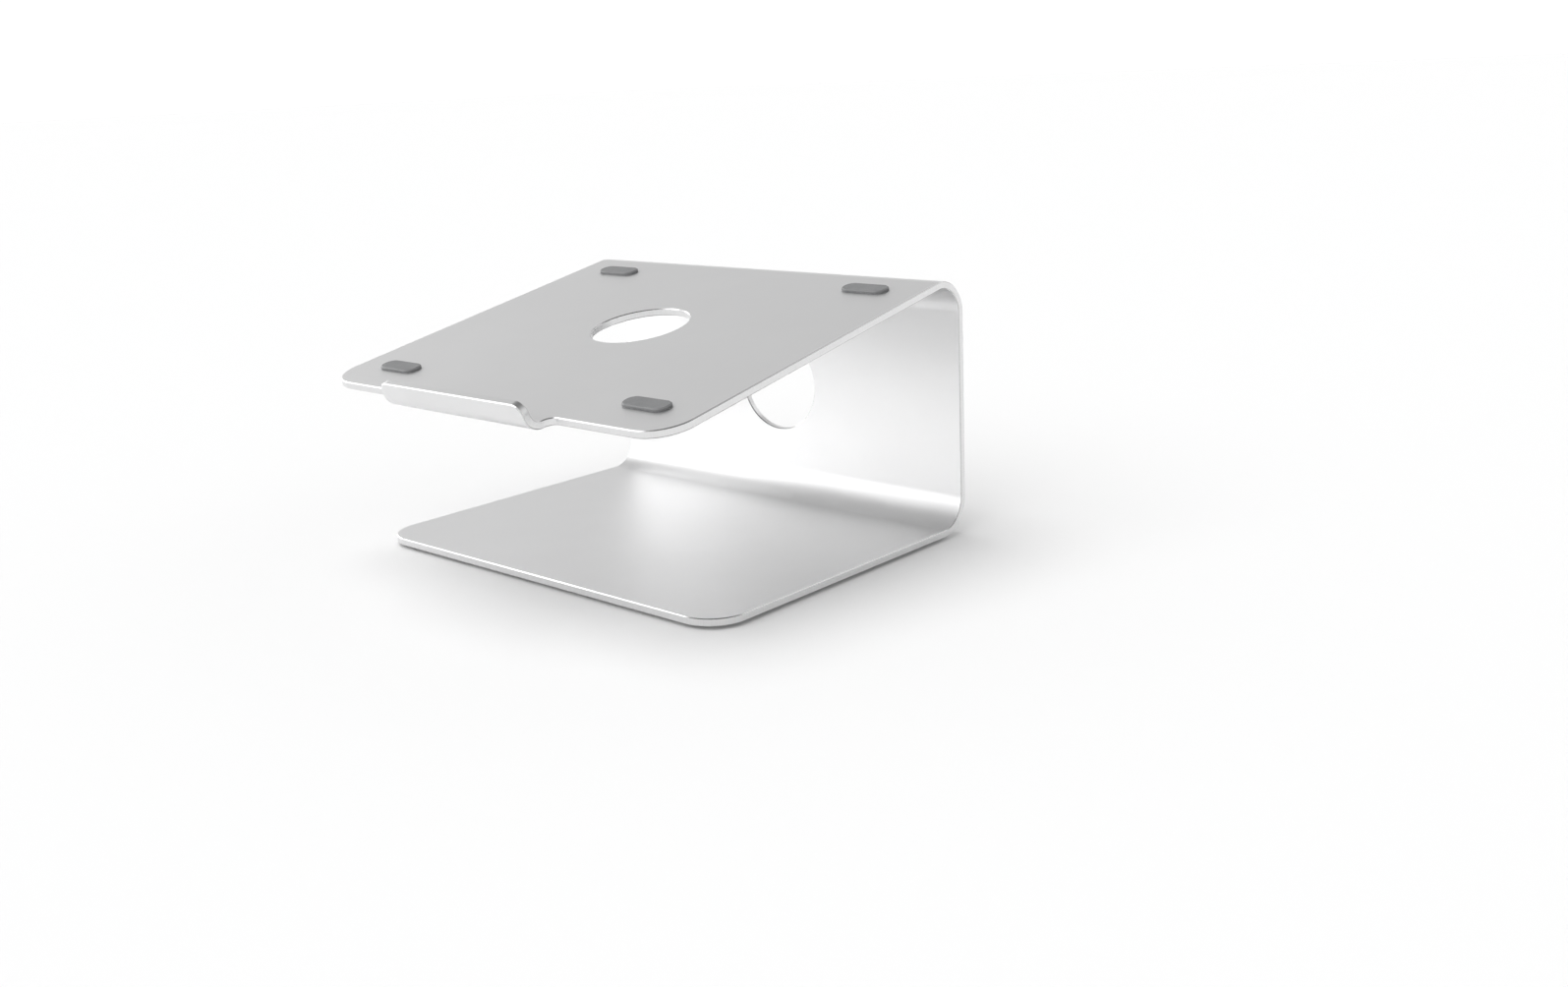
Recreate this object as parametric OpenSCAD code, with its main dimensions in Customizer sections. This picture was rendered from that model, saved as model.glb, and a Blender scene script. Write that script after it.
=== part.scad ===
// Laptop stand: one folded aluminium sheet with a front lip, stick-on rubber deck pads and feet.
// The origin is on the desk, below the middle of the stand. +Y points to the back, +Z points up.

/* [Sheet] */
// Thickness of the folded sheet
sheet_t = 4; // [3:0.5:5]
// Width of the stand from side to side
stand_w = 254; // [240:1:300]
// How much folding thins the sheet, on each face of a bend
bend_thinning = 0.03; // [0.02:0.01:0.05]
// Chamfer cut along every sheet edge and hole rim
edge_chamfer = 0.5; // [0.3:0.1:1]
// Radius of the front corners of the base and the deck
corner_r = 20; // [10:1:25]

/* [Base and back panel] */
// Flat length of the base, from its front edge to the lower bend
base_flat = 183; // [183:1:200]
// Inside radius of the bend between the base and the back panel
lower_bend_r = 16; // [8:1:20]
// Flat height of the back panel, between its two bends
back_flat = 99.5; // [90:0.5:140]
// Inside radius of the bend between the back panel and the deck
upper_bend_r = 15; // [8:1:20]

/* [Deck] */
// Flat length of the deck, from its front edge to the upper bend
deck_flat = 212.5; // [206:0.5:230]
// Slope of the deck, down towards the front, in degrees
deck_slope = 11; // [0:1:18]

/* [Lip] */
// Width of the lip that keeps the laptop on the deck
lip_w = 108; // [60:1:150]
// Flat run of the lip in front of the deck's edge
lip_run = 5; // [5:0.5:10]
// Radius of the hollow corner at each end of the lip
lip_root_r = 5; // [2:0.5:5]
// Inside radius of the lip's bend
lip_bend_r = 6; // [4:0.5:10]
// Angle that the lip is bent up from the deck, in degrees
lip_bend = 77; // [60:1:90]
// Flat height of the lip beyond its bend
lip_flat = 8; // [7:0.5:20]
// Radius of the lip's top corners
lip_corner_r = 6; // [2:0.5:6.5]

/* [Holes] */
// Diameter of the cable hole and the vent hole
hole_d = 54; // [30:1:70]
// Height of the cable hole's centre above the lower bend
cable_hole_rise = 49; // [40:0.5:52]
// Distance of the vent hole's centre from the deck's front edge
vent_hole_setback = 117; // [90:1:140]

/* [Pads and feet] */
// Length of each rubber pad, from side to side
pad_l = 28; // [20:1:40]
// Width of each rubber pad, from front to back
pad_w = 11; // [11:1:16]
// Corner radius of each rubber pad
pad_corner_r = 5; // [2:0.5:5]
// Thickness of the rubber
pad_t = 1.6; // [1.2:0.1:3]
// Bevel around the free face of each rubber pad
pad_bevel = 0.6; // [0.2:0.1:0.8]
// Thickness of the adhesive film under each rubber pad
film_t = 0.2; // [0.1:0.05:0.3]
// How far the adhesive film stays inside the rubber's outline
film_inset = 0.5; // [0.2:0.1:1]
// Distance of each pad's centre from the middle of the stand
pad_side = 93; // [80:1:95]
// Distance of the front deck pads from the deck's front edge
deck_pad_front = 25.5; // [20:0.5:40]
// Distance of the rear deck pads from the deck's front edge
deck_pad_rear = 194.5; // [180:0.5:200]
// Distance of the front feet from the base's front edge
foot_front = 20; // [15:1:40]
// Distance of the rear feet from the base's front edge
foot_rear = 168; // [145:1:168]

/* [Hidden] */
$fn = 96;
left = -1;
right = 1;

// How far each flat runs on into the bends beside it
run_on = 0.2;

// Height of the base's underside above the desk
stand_off = pad_t + film_t;

// Places in the side view are (y, z), with y = 0 at the base's front edge and z = 0 at its underside.
back_face_y = base_flat + lower_bend_r + sheet_t;
back_bottom_z = sheet_t + lower_bend_r;
upper_bend_y = back_face_y - sheet_t - upper_bend_r;
upper_bend_z = back_bottom_z + back_flat;
deck_front_y = upper_bend_y - upper_bend_r * sin(deck_slope) - deck_flat * cos(deck_slope);
deck_front_z = upper_bend_z + upper_bend_r * cos(deck_slope) - deck_flat * sin(deck_slope);

// The lip's bend turns about this point, given in the deck's own plane.
lip_axis_y = -lip_run;
lip_axis_z = sheet_t + lip_bend_r;

// The lip's foremost point is the lower edge of the chamfer on its outer face.
lip_lean = lip_bend - deck_slope;
lip_tip_y = deck_front_y + lip_axis_y * cos(deck_slope) - lip_axis_z * sin(deck_slope)
    - (lip_bend_r + sheet_t) * sin(lip_lean) - (lip_flat - edge_chamfer) * cos(lip_lean);

// The base's front edge sits here, so that the origin is midway between the lip and the back.
base_front_y = -(back_face_y + lip_tip_y) / 2;

// Cross-section of a sheet of width w and thickness t: x runs across it and y through it.
module sheet_section(w, t) {
    side = w / 2;
    cut = edge_chamfer;
    polygon([
        [-side, cut], [-side + cut, 0], [side - cut, 0], [side, cut],
        [side, t - cut], [side - cut, t], [-side + cut, t], [-side, t - cut]
    ]);
}

// Straight run of sheet on the plane z = 0, from y = y0 to y = y1.
module strip(w, y0, y1) {
    rotate([90, 0, 0])
        translate([0, 0, -y1])
            linear_extrude(y1 - y0)
                sheet_section(w, sheet_t);
}

// Bend about the X axis, from straight below it round towards +Y, and thinner than the flats.
module bend(w, inner_r, angle) {
    rotate([0, 90, 0])
        rotate_extrude(angle = angle)
            translate([inner_r + sheet_t - bend_thinning, 0])
                rotate(90)
                    sheet_section(w - 2 * bend_thinning, sheet_t - 2 * bend_thinning);
}

// Chamfered front edge bar, from x = -w / 2 to w / 2 and from y = 0 to y = depth.
module edge_bar(w, depth) {
    cut = edge_chamfer;
    translate([-w / 2, 0, 0])
        rotate([90, 0, 90])
            linear_extrude(w)
                polygon([[0, cut], [cut, 0], [depth, 0], [depth, sheet_t], [cut, sheet_t], [0, sheet_t - cut]]);
}

// Quarter of a chamfered disc of sheet, from +X round towards +Y.
module corner_quarter(r) {
    cut = edge_chamfer;
    rotate_extrude(angle = 90)
        polygon([[0, 0], [r - cut, 0], [r, cut], [r, sheet_t - cut], [r - cut, sheet_t], [0, sheet_t]]);
}

// Flat plate on the plane z = 0, from rounded front corners at y = 0 back to y = depth.
module plate(w, depth, r) {
    strip(w, r, depth);
    edge_bar(w - 2 * r, r);
    translate([w / 2 - r, r, 0])
        rotate(-90)
            corner_quarter(r);
    translate([-w / 2 + r, r, 0])
        rotate(180)
            corner_quarter(r);
}

// Cutter for a hole of radius r through a sheet on z = 0, with a chamfer at both rims.
module hole_cutter(r) {
    cut = edge_chamfer;
    over = 1;
    rotate_extrude()
        polygon([
            [0, -over], [r + cut + over, -over], [r, cut],
            [r, sheet_t - cut], [r + cut + over, sheet_t + over], [0, sheet_t + over]
        ]);
}

// Hollow corner where the right-hand end of the lip leaves the deck's front edge.
module lip_root() {
    difference() {
        translate([lip_w / 2 - edge_chamfer, -lip_root_r, 0])
            cube([lip_root_r + edge_chamfer, lip_root_r + edge_chamfer, sheet_t]);
        translate([lip_w / 2 + lip_root_r, -lip_root_r, 0])
            hole_cutter(lip_root_r);
    }
}

// Lip in the deck's own plane, with the deck's front edge at y = 0.
module lip() {
    strip(lip_w, -lip_run - run_on, corner_r);
    lip_root();
    mirror([1, 0, 0])
        lip_root();
    translate([0, lip_axis_y, lip_axis_z])
        rotate([-lip_bend, 0, 0]) {
            bend(lip_w, lip_bend_r, lip_bend);
            translate([0, -lip_flat, -lip_bend_r - sheet_t])
                plate(lip_w, lip_flat + run_on, lip_corner_r);
        }
}

// Moves its children from the deck's own plane to the deck's place in the stand.
module on_deck() {
    translate([0, base_front_y + deck_front_y, stand_off + deck_front_z])
        rotate([deck_slope, 0, 0])
            children();
}

// The folded sheet: base, back panel, deck and lip in one piece.
module body() {
    color("silver")
        difference() {
            union() {
                translate([0, base_front_y, stand_off]) {
                    plate(stand_w, base_flat + run_on, corner_r);
                    translate([0, base_flat, sheet_t + lower_bend_r])
                        bend(stand_w, lower_bend_r, 90);
                    translate([0, back_face_y, back_bottom_z])
                        rotate([90, 0, 0])
                            strip(stand_w, -run_on, back_flat + run_on);
                    translate([0, upper_bend_y, upper_bend_z])
                        rotate([90, 0, 0])
                            bend(stand_w, upper_bend_r, 90 + deck_slope);
                }
                on_deck() {
                    plate(stand_w, deck_flat + run_on, corner_r);
                    lip();
                }
            }
            on_deck()
                translate([0, vent_hole_setback, 0])
                    hole_cutter(hole_d / 2);
            translate([0, base_front_y + back_face_y, stand_off + back_bottom_z + cable_hole_rise])
                rotate([90, 0, 0])
                    hole_cutter(hole_d / 2);
        }
}

// Rounded rectangle centred on the origin.
module rounded_rectangle(l, w, r) {
    square([l - 2 * r, w], center = true);
    square([l, w - 2 * r], center = true);
    for (x = [-1, 1], y = [-1, 1])
        translate([x * (l / 2 - r), y * (w / 2 - r)])
            circle(r);
}

// Sloping border of a rounded slab: it starts at the full outline and is drawn in as it rises.
module bevel_layer(l, w, r, rise) {
    rotate([90, 0, 90])
        linear_extrude(l - 2 * r, center = true)
            polygon([[-w / 2, 0], [w / 2, 0], [w / 2 - rise, rise], [-w / 2 + rise, rise]]);
    rotate([90, 0, 0])
        linear_extrude(w - 2 * r, center = true)
            polygon([[-l / 2, 0], [l / 2, 0], [l / 2 - rise, rise], [-l / 2 + rise, rise]]);
    for (x = [-1, 1], y = [-1, 1])
        translate([x * (l / 2 - r), y * (w / 2 - r), 0])
            cylinder(h = rise, r1 = r, r2 = r - rise);
}

// Rubber pad with its free face up, standing on its adhesive film.
module rubber_pad() {
    color("dimgray")
        translate([0, 0, film_t]) {
            linear_extrude(pad_t - pad_bevel)
                rounded_rectangle(pad_l, pad_w, pad_corner_r);
            translate([0, 0, pad_t - pad_bevel])
                bevel_layer(pad_l, pad_w, pad_corner_r, pad_bevel);
        }
}

// Adhesive film that holds one rubber pad on the sheet.
module adhesive_film() {
    color("gainsboro")
        linear_extrude(film_t)
            rounded_rectangle(pad_l - 2 * film_inset, pad_w - 2 * film_inset, pad_corner_r - film_inset);
}

// Place of a pad on the deck's top face.
module at_deck_pad(side, setback) {
    on_deck()
        translate([side * pad_side, setback, sheet_t])
            children();
}

// Place of a foot under the base, upside down.
module at_foot(side, setback) {
    translate([side * pad_side, base_front_y + setback, stand_off])
        mirror([0, 0, 1])
            children();
}

body();
at_deck_pad(left, deck_pad_front) rubber_pad();  // deck_pad_front_left
at_deck_pad(right, deck_pad_front) rubber_pad();  // deck_pad_front_right
at_deck_pad(left, deck_pad_rear) rubber_pad();  // deck_pad_rear_left
at_deck_pad(right, deck_pad_rear) rubber_pad();  // deck_pad_rear_right
at_deck_pad(left, deck_pad_front) adhesive_film();  // deck_film_front_left
at_deck_pad(right, deck_pad_front) adhesive_film();  // deck_film_front_right
at_deck_pad(left, deck_pad_rear) adhesive_film();  // deck_film_rear_left
at_deck_pad(right, deck_pad_rear) adhesive_film();  // deck_film_rear_right
at_foot(left, foot_front) rubber_pad();  // foot_front_left
at_foot(right, foot_front) rubber_pad();  // foot_front_right
at_foot(left, foot_rear) rubber_pad();  // foot_rear_left
at_foot(right, foot_rear) rubber_pad();  // foot_rear_right
at_foot(left, foot_front) adhesive_film();  // foot_film_front_left
at_foot(right, foot_front) adhesive_film();  // foot_film_front_right
at_foot(left, foot_rear) adhesive_film();  // foot_film_rear_left
at_foot(right, foot_rear) adhesive_film();  // foot_film_rear_right
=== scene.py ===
import math

import bpy
from mathutils import Matrix, Vector
from mathutils.geometry import tessellate_polygon


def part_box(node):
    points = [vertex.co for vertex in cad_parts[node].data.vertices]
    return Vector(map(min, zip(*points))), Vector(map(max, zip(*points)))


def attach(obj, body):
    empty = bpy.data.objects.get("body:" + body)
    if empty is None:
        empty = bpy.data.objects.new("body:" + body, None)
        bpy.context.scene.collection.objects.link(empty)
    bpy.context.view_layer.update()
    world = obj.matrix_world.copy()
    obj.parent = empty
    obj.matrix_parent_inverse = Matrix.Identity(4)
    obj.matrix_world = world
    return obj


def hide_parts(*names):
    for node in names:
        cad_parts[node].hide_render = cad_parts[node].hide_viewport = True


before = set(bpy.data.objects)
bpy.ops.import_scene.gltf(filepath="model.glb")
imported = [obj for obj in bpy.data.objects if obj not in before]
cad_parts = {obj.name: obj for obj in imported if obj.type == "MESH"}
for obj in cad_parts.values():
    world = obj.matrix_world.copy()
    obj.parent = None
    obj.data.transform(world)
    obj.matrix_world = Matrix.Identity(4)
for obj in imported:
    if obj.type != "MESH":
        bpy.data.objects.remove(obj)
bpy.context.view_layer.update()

# Lengths from here on are in millimetres and angles in degrees, unless a comment says otherwise.
MM = 0.001

# ---------------------------------------------------------------- the folded sheet, as part.scad has it
SHEET_T = 4.0
STAND_W = 254.0
EDGE_CHAMFER = 0.5
CORNER_R = 20.0
BASE_FLAT = 183.0
LOWER_BEND_R = 16.0
BACK_FLAT = 99.5
UPPER_BEND_R = 15.0
DECK_FLAT = 212.5
DECK_SLOPE = 11.0
LIP_W = 108.0
LIP_RUN = 5.0
LIP_ROOT_R = 5.0
LIP_BEND_R = 6.0
LIP_BEND = 77.0
LIP_FLAT = 8.0
LIP_CORNER_R = 6.0
HOLE_R = 27.0
CABLE_HOLE_RISE = 49.0
VENT_HOLE_SETBACK = 117.0
# A bend is thinner than the flats by this much on each side. The change takes this share of the bend's
# length at each of its ends.
BEND_THINNING = 0.03
BEND_BLEND = 0.18

# The rubber pads: four on the deck and four feet under the base.
PAD_L = 28.0
PAD_W = 11.0
PAD_CORNER_R = 5.0
PAD_T = 1.6
PAD_BEVEL = 0.6
PAD_ROUNDING = 0.16
FILM_T = 0.2
PAD_SIDE = 93.0
DECK_PAD_FRONT = 25.5
DECK_PAD_REAR = 194.5
FOOT_FRONT = 20.0
FOOT_REAR = 168.0

# Mesh fineness: degrees to a step in a bend, and steps to a corner, a hole and a pad's rounding.
BEND_STEP = 2.5
CORNER_STEPS = 28
HOLE_STEPS = 160
ROUNDING_STEPS = 4
# An outline point this near to the end of a flat or bend belongs to it.
NEAR = 1e-3
# A run has to pass the start of a flat or bend by this much to be on it.
TINY = 1e-6

# ---------------------------------------------------------------- the camera, in the row frame
CAMERA_AZIMUTH = 44.1
CAMERA_ELEVATION = 10.0
CAMERA_ROLL = -2.6
CAMERA_DISTANCE = 865.0
CAMERA_AIM = (3.2, 31.7, 100.5)
CAMERA_LENS = 36.33
CAMERA_SHIFT = (0.0687, -0.0865)
SENSOR_WIDTH = 36.0
# In metres.
CLIP_NEAR = 0.01
CLIP_FAR = 100.0


def add_object(name, data):
    made = bpy.data.objects.new(name, data)
    bpy.context.scene.collection.objects.link(made)
    return made


def make_camera():
    """The photograph's camera. Its azimuth is counted from the front towards the right."""
    az, el, roll = (math.radians(a) for a in (CAMERA_AZIMUTH, CAMERA_ELEVATION, CAMERA_ROLL))
    back = Vector((math.sin(az) * math.cos(el), -math.cos(az) * math.cos(el), math.sin(el)))
    level = Vector((math.cos(az), math.sin(az), 0.0))
    upright = back.cross(level)
    right = level * math.cos(roll) + upright * math.sin(roll)
    up = back.cross(right)
    data = bpy.data.cameras.new("camera")
    data.sensor_width = SENSOR_WIDTH
    data.lens = CAMERA_LENS
    data.shift_x, data.shift_y = CAMERA_SHIFT
    data.clip_start, data.clip_end = CLIP_NEAR, CLIP_FAR
    camera = add_object("camera", data)
    place = (Vector(CAMERA_AIM) + back * CAMERA_DISTANCE) * MM
    camera.matrix_world = Matrix.Translation(place) @ Matrix((right, up, back)).transposed().to_4x4()
    bpy.context.scene.camera = camera


# ---------------------------------------------------------------- the sheet's side profile
# A point of the sheet is (x, run, depth). x is across the stand. run is the distance along the middle of
# the sheet's thickness, from the base's front edge to the lip's top. depth is from -SHEET_T / 2 on the
# outside of the folded C (base's underside, back, deck's top) to SHEET_T / 2 on its inside.
def make_profile():
    """The flats and bends from the base to the lip. side is 1 for a left turn, -1 for a right one."""
    bends = ((LOWER_BEND_R, 90.0, 1), (UPPER_BEND_R, 90.0 + DECK_SLOPE, 1), (LIP_BEND_R, LIP_BEND, -1))
    flats = (BASE_FLAT, BACK_FLAT, DECK_FLAT + LIP_RUN, LIP_FLAT)
    body_low, body_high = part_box("body")
    base_front = body_high.y / MM - SHEET_T - LOWER_BEND_R - BASE_FLAT
    place = Vector((base_front, body_low.z / MM + SHEET_T / 2))
    heading = 0.0
    run = 0.0
    pieces = []
    for i, flat in enumerate(flats):
        pieces.append({"run": run, "length": flat, "place": place, "heading": heading,
                       "radius": 0.0, "side": 0})
        place = place + flat * ahead(heading)
        run += flat
        if i < len(bends):
            inner_r, turn, side = bends[i]
            radius = inner_r + SHEET_T / 2
            length = radius * math.radians(turn)
            pieces.append({"run": run, "length": length, "place": place, "heading": heading,
                           "radius": radius, "side": side})
            centre = place + side * radius * left_of(heading)
            heading += side * math.radians(turn)
            place = centre - side * radius * left_of(heading)
            run += length
    return pieces


def ahead(heading):
    return Vector((math.cos(heading), math.sin(heading)))


def left_of(heading):
    return Vector((-math.sin(heading), math.cos(heading)))


PROFILE = make_profile()
LOWER_BEND, BACK, UPPER_BEND, DECK, LIP_BEND_PIECE, LIP = PROFILE[1:]
DECK_FRONT = DECK["run"] + DECK_FLAT
LIP_TOP = LIP["run"] + LIP_FLAT


def smooth(t):
    """Eases from 0 to 1 as t goes from 0 to 1."""
    t = min(max(t, 0.0), 1.0)
    return t * t * (3 - 2 * t)


def profile_at(run):
    """Place, heading and thickness factor of the sheet's middle line at a run."""
    piece = PROFILE[0]
    for p in PROFILE:
        if run > p["run"] + TINY:
            piece = p
    t = run - piece["run"]
    heading = piece["heading"]
    if not piece["side"]:
        return piece["place"] + t * ahead(heading), heading, 1.0
    side, radius = piece["side"], piece["radius"]
    centre = piece["place"] + side * radius * left_of(heading)
    heading += side * t / radius
    ends = min(t, piece["length"] - t) / (BEND_BLEND * piece["length"])
    thick = 1.0 - 2 * BEND_THINNING / SHEET_T * smooth(ends)
    return centre - side * radius * left_of(heading), heading, thick


def sheet_point(x, run, depth):
    """Place in the row frame, in metres, of a point of the sheet."""
    middle, heading, thick = profile_at(run)
    yz = middle + depth * thick * left_of(heading)
    return Vector((x, yz.x, yz.y)) * MM


def sheet_direction(across, along, through, run):
    """Direction in the row frame of a direction given in the sheet's own terms."""
    heading = profile_at(run)[1]
    v = along * ahead(heading) + through * left_of(heading)
    return Vector((across, v.x, v.y)).normalized()


# ---------------------------------------------------------------- outlines, in the flat sheet
# An outline is a list of (x, run, nx, nr): a point and the flat direction that leads out of the metal.
def arc(cx, cr, radius, start, end, steps, inward=False):
    """Outline points round an arc. inward is for an arc whose centre is outside the metal."""
    sign = -1 if inward else 1
    points = []
    for i in range(steps + 1):
        a = math.radians(start + (end - start) * i / steps)
        c, s = math.cos(a), math.sin(a)
        points.append((cx + radius * c, cr + radius * s, sign * c, sign * s))
    return points


def bend_stations(piece):
    """The runs at which a bend's outline has points."""
    steps = max(4, round(math.degrees(piece["length"] / piece["radius"]) / BEND_STEP))
    return [piece["run"] + piece["length"] * i / steps for i in range(steps + 1)]


def sheet_outline():
    """The blank's outline: up its right side from the base's front edge, and down its left side."""
    half = STAND_W / 2
    lip_half = LIP_W / 2
    side = half - CORNER_R
    right = arc(side, CORNER_R, CORNER_R, -90, 0, CORNER_STEPS)
    for piece in (LOWER_BEND, UPPER_BEND):
        right += [(half, run, 1, 0) for run in bend_stations(piece)]
    right += arc(side, DECK_FRONT - CORNER_R, CORNER_R, 0, 90, CORNER_STEPS)
    right += arc(lip_half + LIP_ROOT_R, DECK_FRONT + LIP_ROOT_R, LIP_ROOT_R, 270, 180,
                 CORNER_STEPS // 2, inward=True)
    right += [(lip_half, run, 1, 0) for run in bend_stations(LIP_BEND_PIECE)[1:]]
    right += arc(lip_half - LIP_CORNER_R, LIP_TOP - LIP_CORNER_R, LIP_CORNER_R, 0, 90, CORNER_STEPS)
    left = [(-x, run, -nx, nr) for x, run, nx, nr in reversed(right)]
    return right + left


def hole_outline(run):
    return arc(0.0, run, HOLE_R, 0, 360, HOLE_STEPS, inward=True)[:-1]


# ---------------------------------------------------------------- mesh helper
class Shell:
    """Collects faces with their own corner normals, and makes one object of them."""

    def __init__(self):
        self.points, self.faces, self.normals, self.slots, self.runs = [], [], [], [], []

    def add(self, point):
        self.points.append(point)
        return len(self.points) - 1

    def face(self, corners, normals, slot=0, runs=None):
        """Adds a face, turned so that its front is the side that its normals are on."""
        a, b, c = (self.points[i] for i in corners[:3])
        flat = (b - a).cross(c - a)
        runs = runs or [0.0] * len(corners)
        if flat.dot(sum(normals, Vector())) < 0:
            corners, normals, runs = corners[::-1], normals[::-1], runs[::-1]
        self.faces.append(corners)
        self.normals.append(normals)
        self.slots.append(slot)
        self.runs.append(runs)

    def make(self, name, materials):
        mesh = bpy.data.meshes.new(name)
        mesh.from_pydata(self.points, [], self.faces)
        for material in materials:
            mesh.materials.append(material)
        mesh.polygons.foreach_set("material_index", self.slots)
        mesh.polygons.foreach_set("use_smooth", [True] * len(self.faces))
        along = mesh.attributes.new("edge_run", "FLOAT", "CORNER")
        along.data.foreach_set("value", [r for runs in self.runs for r in runs])
        mesh.normals_split_custom_set([n for normals in self.normals for n in normals])
        mesh.update()
        return add_object(name, mesh)


# ---------------------------------------------------------------- the folded sheet
# Its material slots, in the order that make_sheet is given them.
FACE, CHAMFER, WALL = 0, 1, 2


def add_rim(shell, outline):
    """The cut edge round an outline: outside chamfer, wall and inside chamfer.

    Returns the point numbers of its outside and inside loops.
    """
    half, cut = SHEET_T / 2, EDGE_CHAMFER
    levels = ((cut, -half), (0.0, cut - half), (0.0, half - cut), (cut, half))
    leans = (-1, 0, 1)
    rings = [[shell.add(sheet_point(x - inset * nx, run - inset * nr, depth))
              for x, run, nx, nr in outline] for inset, depth in levels]
    length = [0.0]
    closed = outline + outline[:1]
    for p, q in zip(closed, closed[1:]):
        length.append(length[-1] + math.hypot(q[0] - p[0], q[1] - p[1]))
    count = len(outline)
    for i in range(count):
        j = (i + 1) % count
        for k, lean in enumerate(leans):
            ends = [sheet_direction(p[2], p[3], lean, p[1]) for p in (outline[i], outline[j])]
            corners = [rings[k][i], rings[k][j], rings[k + 1][j], rings[k + 1][i]]
            runs = [length[i], length[i + 1], length[i + 1], length[i]]
            slot = CHAMFER if lean else WALL
            shell.face(corners, [ends[0], ends[1], ends[1], ends[0]], slot, runs)
    return rings[0], rings[3]


def add_flat(shell, loops, outlines, side):
    """One flat face of the sheet, with or without a hole."""
    flat = [[Vector((p[0], p[1], 0.0)) for p in outline] for outline in outlines]
    corners = [i for loop in loops for i in loop]
    runs = [p[1] for outline in outlines for p in outline]
    for triangle in tessellate_polygon(flat):
        normals = [sheet_direction(0, 0, side, runs[t]) for t in triangle]
        shell.face([corners[t] for t in triangle], normals, FACE)


def add_bend(shell, loop, outline, piece, side):
    """One face of a bend, in strips from the sheet's left edge to its right."""
    low, high = piece["run"] - NEAR, piece["run"] + piece["length"] + NEAR
    right = [i for i, p in enumerate(outline) if low <= p[1] <= high and p[0] > 0]
    left = [i for i, p in enumerate(outline) if low <= p[1] <= high and p[0] < 0][::-1]
    for r0, r1, l0, l1 in zip(right, right[1:], left, left[1:]):
        corners = (l0, r0, r1, l1)
        normals = [sheet_direction(0, 0, side, outline[i][1]) for i in corners]
        shell.face([loop[i] for i in corners], normals, FACE)


def make_sheet(materials):
    shell = Shell()
    outline = sheet_outline()
    cable_hole = hole_outline(BACK["run"] + CABLE_HOLE_RISE)
    vent_hole = hole_outline(DECK_FRONT - VENT_HOLE_SETBACK)
    outlines = (outline, cable_hole, vent_hole)
    rims = [add_rim(shell, o) for o in outlines]
    # The flats: first run, last run, and the index of the hole's outline.
    spans = (
        (0.0, LOWER_BEND["run"], None), (BACK["run"], UPPER_BEND["run"], 1),
        (DECK["run"], LIP_BEND_PIECE["run"], 2), (LIP["run"], LIP_TOP, None),
    )
    for face, side in ((0, -1), (1, 1)):
        loop = rims[0][face]
        for start, end, hole in spans:
            inside = [i for i, p in enumerate(outline) if start - NEAR <= p[1] <= end + NEAR]
            loops, shapes = [[loop[i] for i in inside]], [[outline[i] for i in inside]]
            if hole:
                loops.append(rims[hole][face])
                shapes.append(outlines[hole])
            add_flat(shell, loops, shapes, side)
        for piece in (LOWER_BEND, UPPER_BEND, LIP_BEND_PIECE):
            add_bend(shell, loop, outline, piece, side)
    piece = shell.make("folded_sheet", materials)
    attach(piece, "root")
    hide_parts("body")


# ---------------------------------------------------------------- rubber pads and feet
def pad_outline():
    side, end = PAD_L / 2 - PAD_CORNER_R, PAD_W / 2 - PAD_CORNER_R
    points = []
    for cx, cr, start in ((side, -end, -90), (side, end, 0), (-side, end, 90), (-side, -end, 180)):
        points += arc(cx, cr, PAD_CORNER_R, start, start + 90, CORNER_STEPS // 2)
    return points


def pad_levels():
    """The pad's side from its film to its face: inset, height, and the way that the surface faces."""
    soft = PAD_ROUNDING
    # How far from its corner a rounding starts, where a slope of 45 degrees meets a flat, is about this.
    tuck = 0.4 * soft
    centres = ((soft, PAD_T - PAD_BEVEL - tuck), (PAD_BEVEL + tuck, PAD_T - soft))
    levels = [(0.0, 0.0, 0.0)]
    for (inset, height), start in zip(centres, (0, 45)):
        for i in range(ROUNDING_STEPS + 1):
            a = math.radians(start + 45 * i / ROUNDING_STEPS)
            levels.append((inset - soft * math.cos(a), height + soft * math.sin(a), a))
    return levels


def make_pad(name, node, x, run, material):
    shell = Shell()
    outline = pad_outline()
    levels = pad_levels()
    surface = -SHEET_T / 2 - FILM_T
    rings = [[shell.add(sheet_point(x + px - inset * nx, run + pr - inset * nr, surface - height))
              for px, pr, nx, nr in outline] for inset, height, _ in levels]
    count = len(outline)
    for i in range(count):
        j = (i + 1) % count
        for k in range(len(levels) - 1):
            ends = [[sheet_direction(p[2] * math.cos(a), p[3] * math.cos(a), -math.sin(a), run)
                     for p in (outline[i], outline[j])] for a in (levels[k][2], levels[k + 1][2])]
            corners = [rings[k][i], rings[k][j], rings[k + 1][j], rings[k + 1][i]]
            shell.face(corners, [ends[0][0], ends[0][1], ends[1][1], ends[1][0]])
    for ring, side in ((rings[0], 1), (rings[-1], -1)):
        normal = sheet_direction(0, 0, side, run)
        shell.face(ring, [normal] * count)
    piece = shell.make(name, [material])
    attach(piece, "root")
    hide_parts(node)


def make_pads(material):
    rows = (
        ("deck_pad_front", DECK_FRONT - DECK_PAD_FRONT), ("deck_pad_rear", DECK_FRONT - DECK_PAD_REAR),
        ("foot_front", FOOT_FRONT), ("foot_rear", FOOT_REAR),
    )
    for row, run in rows:
        for end, side in (("left", -1), ("right", 1)):
            node = row + "_" + end
            make_pad("rubber_" + node, node, side * PAD_SIDE, run, material)


# ---------------------------------------------------------------- materials
# Most of a noise texture's values lie between these.
NOISE_LOW = 0.3
NOISE_HIGH = 0.7


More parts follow.
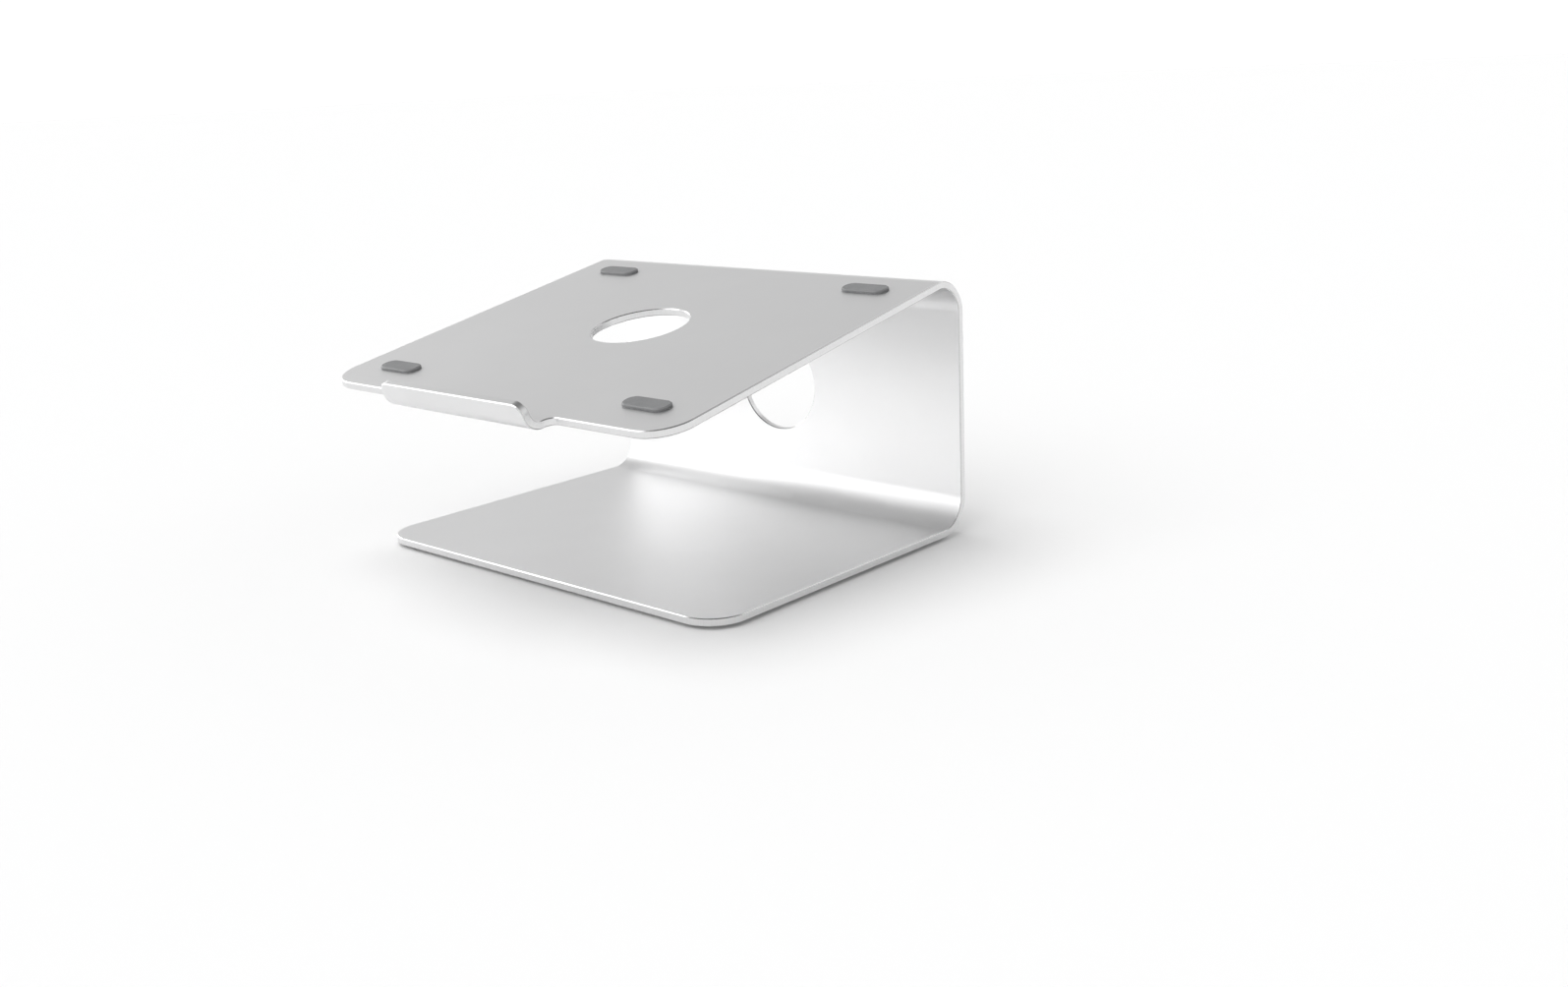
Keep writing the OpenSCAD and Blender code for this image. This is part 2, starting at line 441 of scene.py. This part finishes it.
class Nodes:
    """Short way to write a material's nodes."""

    def __init__(self, name):
        self.material = bpy.data.materials.new(name)
        self.material.use_nodes = True
        self.tree = self.material.node_tree
        self.shader = self.tree.nodes["Principled BSDF"]

    def fill(self, socket, value):
        if isinstance(value, bpy.types.NodeSocket):
            self.tree.links.new(value, socket)
        else:
            socket.default_value = value

    def node(self, kind, values=None, **settings):
        made = self.tree.nodes.new(kind)
        for key, value in settings.items():
            setattr(made, key, value)
        for key, value in (values or {}).items():
            self.fill(made.inputs[key], value)
        return made

    def set(self, **values):
        for key, value in values.items():
            self.fill(self.shader.inputs[key.replace("_", " ")], value)

    def noise(self, scale, detail):
        where = self.node("ShaderNodeTexCoord").outputs["Object"]
        made = self.node("ShaderNodeTexNoise", {"Vector": where, "Scale": scale, "Detail": detail})
        return made.outputs["Fac"]

    def ranged(self, value, low, high):
        made = self.node("ShaderNodeMapRange", {
            "Value": value, "From Min": NOISE_LOW, "From Max": NOISE_HIGH, "To Min": low, "To Max": high,
        })
        return made.outputs["Result"]

    def tint(self, value, dark, light):
        # Inputs 0, 6 and 7 are a colour mix's factor and two colours, and output 2 is its result.
        factor = self.ranged(value, 0, 1)
        values = {0: factor, 6: (*dark, 1.0), 7: (*light, 1.0)}
        made = self.node("ShaderNodeMix", values, data_type="RGBA")
        return made.outputs[2]

    def bump(self, height, strength, distance, normal=None):
        values = {"Height": height, "Strength": strength, "Distance": distance}
        if normal:
            values["Normal"] = normal
        return self.node("ShaderNodeBump", values).outputs["Normal"]


def blasted_aluminium():
    m = Nodes("blasted_aluminium")
    cloud = m.noise(22.0, 3.0)
    grain = m.noise(2600.0, 2.0)
    pits = m.noise(900.0, 1.0)
    m.set(Metallic=1.0)
    m.set(Base_Color=m.tint(cloud, (0.765, 0.765, 0.767), (0.785, 0.785, 0.787)))
    m.set(Roughness=m.ranged(cloud, 0.45, 0.48))
    m.set(Normal=m.bump(grain, 0.25, 0.00004, m.bump(pits, 0.12, 0.00006)))
    return m.material


def bright_cut():
    m = Nodes("bright_cut_chamfer")
    m.set(Metallic=1.0)
    marks = m.noise(700.0, 2.0)
    m.set(Base_Color=m.tint(marks, (0.56, 0.56, 0.562), (0.61, 0.61, 0.612)))
    m.set(Roughness=m.ranged(marks, 0.18, 0.24))
    return m.material


def milled_edge():
    m = Nodes("milled_edge")
    along = m.node("ShaderNodeAttribute", attribute_name="edge_run").outputs["Fac"]
    values = {"W": along, "Scale": 1.6, "Detail": 2.0}
    marks = m.node("ShaderNodeTexNoise", values, noise_dimensions="1D").outputs["Fac"]
    m.set(Metallic=1.0)
    m.set(Base_Color=m.tint(marks, (0.73, 0.73, 0.732), (0.77, 0.77, 0.772)))
    m.set(Roughness=m.ranged(marks, 0.28, 0.32))
    m.set(Normal=m.bump(marks, 0.08, 0.00003))
    return m.material


def moulded_rubber():
    m = Nodes("moulded_rubber")
    grain = m.noise(1800.0, 3.0)
    cloud = m.noise(120.0, 2.0)
    m.set(Base_Color=m.tint(cloud, (0.140, 0.142, 0.145), (0.165, 0.167, 0.170)))
    m.set(Roughness=m.ranged(grain, 0.42, 0.55))
    m.set(Normal=m.bump(grain, 0.35, 0.00008))
    return m.material


def adhesive_film():
    m = Nodes("adhesive_film")
    cloud = m.noise(400.0, 2.0)
    m.set(Base_Color=m.tint(cloud, (0.62, 0.63, 0.64), (0.70, 0.71, 0.72)))
    m.set(Roughness=m.ranged(cloud, 0.30, 0.45))
    return m.material


def dress_films(material):
    for name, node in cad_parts.items():
        if "_film_" in name:
            node.data.materials.clear()
            node.data.materials.append(material)


# ---------------------------------------------------------------- floor and light
# In metres.
FLOOR_SIZE = 60.0
FLOOR_COLOR = (0.80, 0.80, 0.80, 1.0)
# World brightness against the sine of the elevation.
SKY = ((0.0, 1.10), (0.06, 1.08), (0.14, 0.85), (0.40, 0.89), (0.60, 0.74), (0.80, 0.40), (1.0, 0.20))


def make_floor():
    half = FLOOR_SIZE / 2
    mesh = bpy.data.meshes.new("floor")
    corners = [(-half, -half, 0), (half, -half, 0), (half, half, 0), (-half, half, 0)]
    mesh.from_pydata(corners, [], [(0, 1, 2, 3)])
    floor = add_object("floor", mesh)
    m = Nodes("floor_paint")
    m.set(Base_Color=FLOOR_COLOR, Roughness=0.9, Specular_IOR_Level=0.0)
    mesh.materials.append(m.material)


def make_sky():
    world = bpy.data.worlds.new("studio")
    bpy.context.scene.world = world
    world.use_nodes = True
    nodes, links = world.node_tree.nodes, world.node_tree.links
    where = nodes.new("ShaderNodeTexCoord")
    split = nodes.new("ShaderNodeSeparateXYZ")
    ramp = nodes.new("ShaderNodeValToRGB")
    links.new(where.outputs["Generated"], split.inputs[0])
    links.new(split.outputs["Z"], ramp.inputs[0])
    links.new(ramp.outputs["Color"], nodes["Background"].inputs["Color"])
    stops = ramp.color_ramp.elements
    top = max(v for _, v in SKY)
    while len(stops) < len(SKY):
        stops.new(0.5)
    for stop, (height, value) in zip(stops, SKY):
        stop.position = height
        stop.color = (value / top, value / top, value / top, 1.0)
    nodes["Background"].inputs["Strength"].default_value = top


def toward(azimuth, elevation):
    """Direction from the stand, with azimuth 0 along +X and 90 along +Y."""
    az, el = math.radians(azimuth), math.radians(elevation)
    return Vector((math.cos(az) * math.cos(el), math.sin(az) * math.cos(el), math.sin(el)))


def soft_box(name, azimuth, elevation, distance, size, brightness):
    """A square light for the metal to reflect. distance and size are in metres."""
    data = bpy.data.lights.new(name, "AREA")
    data.size = size
    data.energy = brightness * math.pi * size * size
    light = add_object(name, data)
    back = toward(azimuth, elevation)
    light.location = back * distance
    light.rotation_euler = back.to_track_quat("Z", "Y").to_euler()
    light.visible_camera = False
    light.visible_diffuse = False


def floor_light(name, azimuth, elevation, spread, strength):
    """Soft light that whitens the floor and stays out of the metal's reflections."""
    data = bpy.data.lights.new(name, "SUN")
    data.angle = math.radians(spread)
    data.energy = strength
    light = add_object(name, data)
    light.rotation_euler = toward(azimuth, elevation).to_track_quat("Z", "Y").to_euler()
    light.visible_glossy = False


def make_lights():
    floor_light("ceiling_glow", 192.0, 75.0, 42.0, 1.25)
    floor_light("front_glow", 262.0, 48.0, 60.0, 1.25)
    soft_box("front_left_box", 234.0, 16.0, 3.4, 4.2, 1.8)
    soft_box("left_box", 205.0, 42.0, 3.0, 0.7, 1.3)
    soft_box("low_left_box", 184.0, 6.0, 3.0, 2.2, 3.0)
    soft_box("back_box", 72.0, 43.0, 3.0, 1.2, 0.5)


# ---------------------------------------------------------------- putting it together
bpy.context.scene.view_settings.view_transform = "Standard"
make_camera()
make_floor()
make_sky()
make_lights()
make_sheet([blasted_aluminium(), bright_cut(), milled_edge()])
make_pads(moulded_rubber())
dress_films(adhesive_film())
